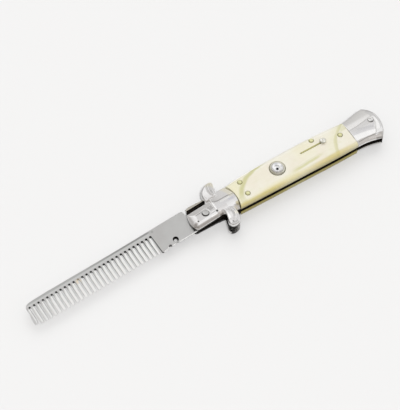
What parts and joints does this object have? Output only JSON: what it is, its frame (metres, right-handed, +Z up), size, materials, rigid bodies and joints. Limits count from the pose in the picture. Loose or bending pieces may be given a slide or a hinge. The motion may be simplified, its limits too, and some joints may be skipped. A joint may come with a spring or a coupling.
{
  "type": "folding comb",
  "caption": "Folding pocket comb: steel comb blade on a stiletto-shaped handle with quillons, marbled scales, push button, safety slide and lock release bolster.",
  "frame": {"origin": "middle of the base of the open comb's box, on the surface it lies on", "axes": "+X along the handle towards the butt, +Y towards the spine side, +Z up out of the button side"},
  "size_m": [0.2292, 0.0318, 0.0126],
  "materials": {
    "comb_steel": "satin, brushed lengthwise, with one small brown stain",
    "polished_nickel": "polished, faceted",
    "liner_black": "dark satin",
    "spring_steel": "satin",
    "marbled_ivory": "glossy, marbled ivory with olive swirls",
    "button_chrome": "polished",
    "rivet_nickel": "polished",
    "pin_brass": "polished"
  },
  "bodies": {
    "handle": {"front_bolster_back": "polished_nickel", "rear_bolster_top": "polished_nickel", "rear_bolster_back": "polished_nickel", "liner_top": "liner_black", "liner_back": "liner_black", "lock_spring": "spring_steel", "scale_top": "marbled_ivory", "scale_back": "marbled_ivory", "button_ring": "button_chrome", "pivot_pin": "rivet_nickel", "rear_rivet_top": "rivet_nickel", "rear_rivet_back": "rivet_nickel", "scale_pin_front_upper": "pin_brass", "scale_pin_front_lower": "pin_brass", "scale_pin_middle": "pin_brass", "scale_pin_rear": "pin_brass", "scale_pin_back_front_upper": "pin_brass", "scale_pin_back_front_lower": "pin_brass", "scale_pin_back_middle": "pin_brass", "scale_pin_back_rear": "pin_brass"},
    "comb": {"comb_blade": "comb_steel"},
    "release": {"front_bolster_top": "polished_nickel"},
    "button": {"push_button": "button_chrome"},
    "safety": {"safety_knob": "button_chrome"}
  },
  "joints": [
    {"name": "comb_fold", "type": "hinge", "parent": "handle", "child": "comb", "pos_m": [-0.00286, -0.00018, 0.0054], "axis": [0, 0, 1], "range_deg": [0, 177.8]},
    {"name": "bolster_release", "type": "hinge", "parent": "handle", "child": "release", "pos_m": [-0.00286, -0.00018, 0.009], "axis": [0, 0, -1], "range_deg": [0, 8], "stiffness_Nm_per_rad": 0.2, "springref_deg": -5.73},
    {"name": "button_press", "type": "slide", "parent": "handle", "child": "button", "axis": [0, 0, -1], "range_m": [0, 0.0011], "stiffness_N_per_m": 600, "springref_m": -0.001},
    {"name": "safety_slide", "type": "slide", "parent": "handle", "child": "safety", "axis": [-1, 0, 0], "range_m": [0, 0.0143]}
  ]
}
